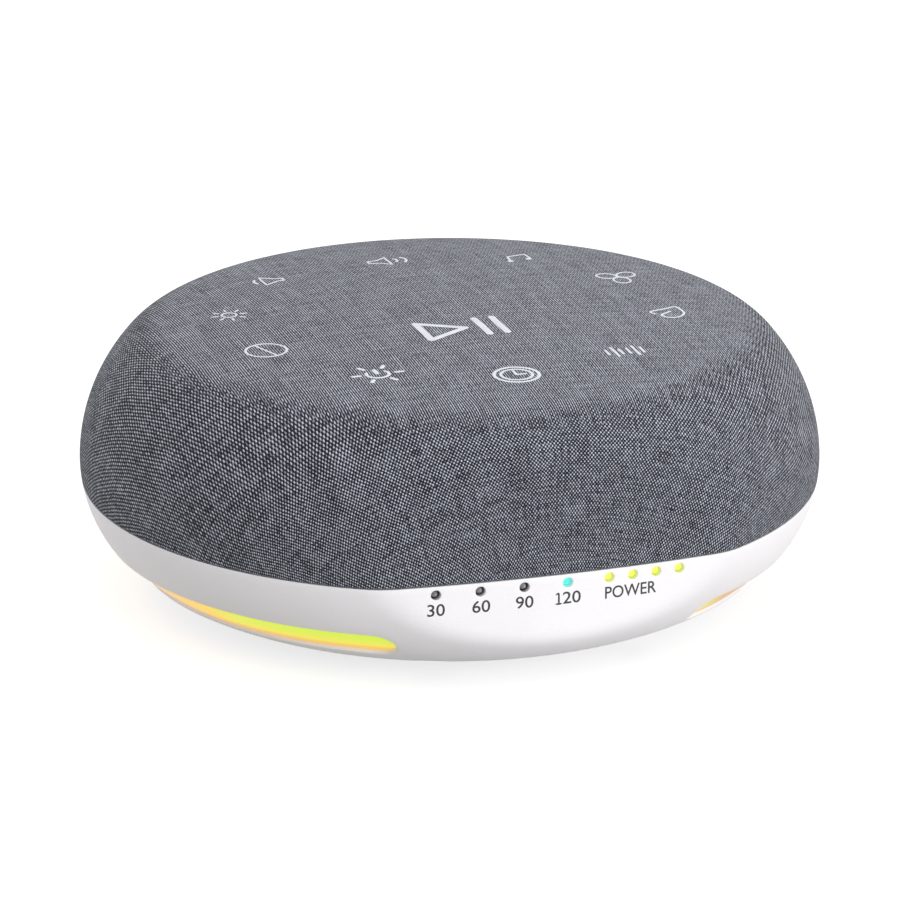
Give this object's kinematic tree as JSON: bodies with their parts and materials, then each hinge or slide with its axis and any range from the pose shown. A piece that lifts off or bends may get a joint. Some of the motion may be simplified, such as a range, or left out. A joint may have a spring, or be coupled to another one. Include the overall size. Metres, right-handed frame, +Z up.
{
  "type": "white noise sound machine",
  "caption": "Low round white noise machine: white base with light slots and a lamp face under a fabric top with touch keys, over a speaker and battery.",
  "frame": {"origin": "on the axis of the round body, on the surface that its rubber pad stands on", "axes": "+Z up through the speaker, -Y out of the flat lamp face, +Y out of the charging inlet, +X to the right seen from the front"},
  "size_m": [0.13, 0.1237, 0.0523],
  "materials": {
    "base_plastic": "satin white moulded ABS",
    "basket_steel": "black painted steel",
    "black_plastic": "matte black",
    "board_green": "solder mask",
    "capacitor_sleeve": "shrink sleeve",
    "cell_roll": "wound electrodes",
    "cell_wrap": "blue shrink wrap over steel",
    "chip_epoxy": "moulded epoxy",
    "coil_copper": "enamelled copper on a paper former",
    "cone_paper": "coated paper pulp",
    "connector_nylon": "natural nylon",
    "cover_fabric": "woven melange speaker cloth",
    "diffuser_plastic": "milky translucent, lit amber from behind",
    "dome_plastic": "dark grey moulded ABS",
    "electrode_copper": "bare copper",
    "ferrite": "sintered ferrite",
    "foam": "open-cell foam",
    "lead_red": "insulated wire",
    "led_package": "clear epoxy over a white package",
    "lens_cyan": "light guide, lit cyan",
    "lens_green": "light guide, lit yellow-green",
    "lens_off": "unlit light guide",
    "pad_rubber": "matte silicone rubber",
    "pole_steel": "zinc plated",
    "ribbon_film": "polyimide film",
    "screw_steel": "zinc plated",
    "spider_cloth": "resin treated cotton",
    "surround_rubber": "butyl rubber",
    "terminal_board": "phenolic board",
    "tinned_steel": "tin plated sheet"
  },
  "bodies": {
    "housing": {"base_pad": "pad_rubber", "base_shell": "base_plastic", "dome_shell": "dome_plastic", "fabric_cover": "cover_fabric", "housing_screws": "screw_steel", "light_diffuser_left": "diffuser_plastic", "light_diffuser_right": "diffuser_plastic", "night_light_board_left": "board_green", "night_light_board_right": "board_green", "night_light_leds": "led_package", "indicator_board": "board_green", "indicator_leds": "led_package", "indicator_baffle": "black_plastic", "timer_lens_30": "lens_off", "timer_lens_60": "lens_off", "timer_lens_90": "lens_off", "timer_lens_120": "lens_cyan", "power_lenses": "lens_green", "main_board": "board_green", "main_board_screws": "screw_steel", "processor_chip": "chip_epoxy", "amplifier_chip": "chip_epoxy", "storage_chip": "chip_epoxy", "capacitors": "capacitor_sleeve", "speaker_connector": "connector_nylon", "charge_connector": "connector_nylon", "touch_connector": "connector_nylon", "charge_port_board": "board_green", "charge_port_shell": "tinned_steel", "charge_port_tongue": "black_plastic", "charge_port_screws": "screw_steel", "battery_can": "cell_wrap", "battery_core": "cell_roll", "battery_bracket": "base_plastic", "battery_bracket_screws": "screw_steel", "speaker_basket": "basket_steel", "speaker_top_plate": "pole_steel", "speaker_magnet": "ferrite", "speaker_yoke": "pole_steel", "spider": "spider_cloth", "surround": "surround_rubber", "speaker_gasket": "foam", "speaker_terminal": "terminal_board", "speaker_screws": "screw_steel", "touch_board": "board_green", "touch_pads": "electrode_copper", "touch_foam": "foam", "touch_board_screws": "screw_steel", "touch_ribbon": "ribbon_film", "speaker_leads": "lead_red", "battery_leads": "lead_red", "charge_leads": "lead_red"},
    "diaphragm": {"voice_coil": "coil_copper", "speaker_cone": "cone_paper", "dust_cap": "cone_paper"}
  },
  "joints": [
    {"name": "diaphragm_travel", "type": "slide", "parent": "housing", "child": "diaphragm", "axis": [0, 0, 1], "range_m": [-0.0012, 0.0012], "stiffness_N_per_m": 900, "deforming": ["surround", "spider"]}
  ]
}
